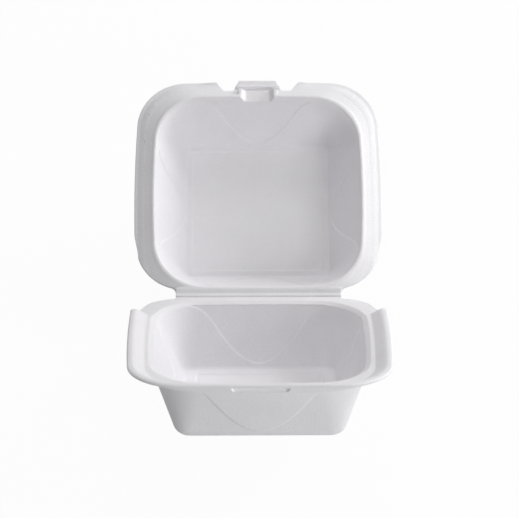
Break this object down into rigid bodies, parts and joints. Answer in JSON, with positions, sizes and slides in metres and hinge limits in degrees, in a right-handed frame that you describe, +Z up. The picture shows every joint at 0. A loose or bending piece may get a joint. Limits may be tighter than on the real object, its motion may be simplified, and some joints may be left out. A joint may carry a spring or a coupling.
{
  "type": "hinged foam food container",
  "caption": "Open foam clamshell food box: deep square tray and domed lid on a pressed hinge, with a tab and slot latch.",
  "frame": {"origin": "middle of the open container's footprint box on the table, below both halves", "axes": "+Z up, +X along the hinge crease to the right, +Y from the base towards the lid"},
  "size_m": [0.1502, 0.2586, 0.0907],
  "materials": {
    "foam": "matte"
  },
  "bodies": {
    "base": {"base": "foam"},
    "lid": {"lid": "foam"}
  },
  "joints": [
    {"name": "lid_hinge", "type": "hinge", "parent": "base", "child": "lid", "pos_m": [0, -0.00469, 0.0225], "axis": [1, 0, 0], "range_deg": [-50.5, 129.5]}
  ]
}
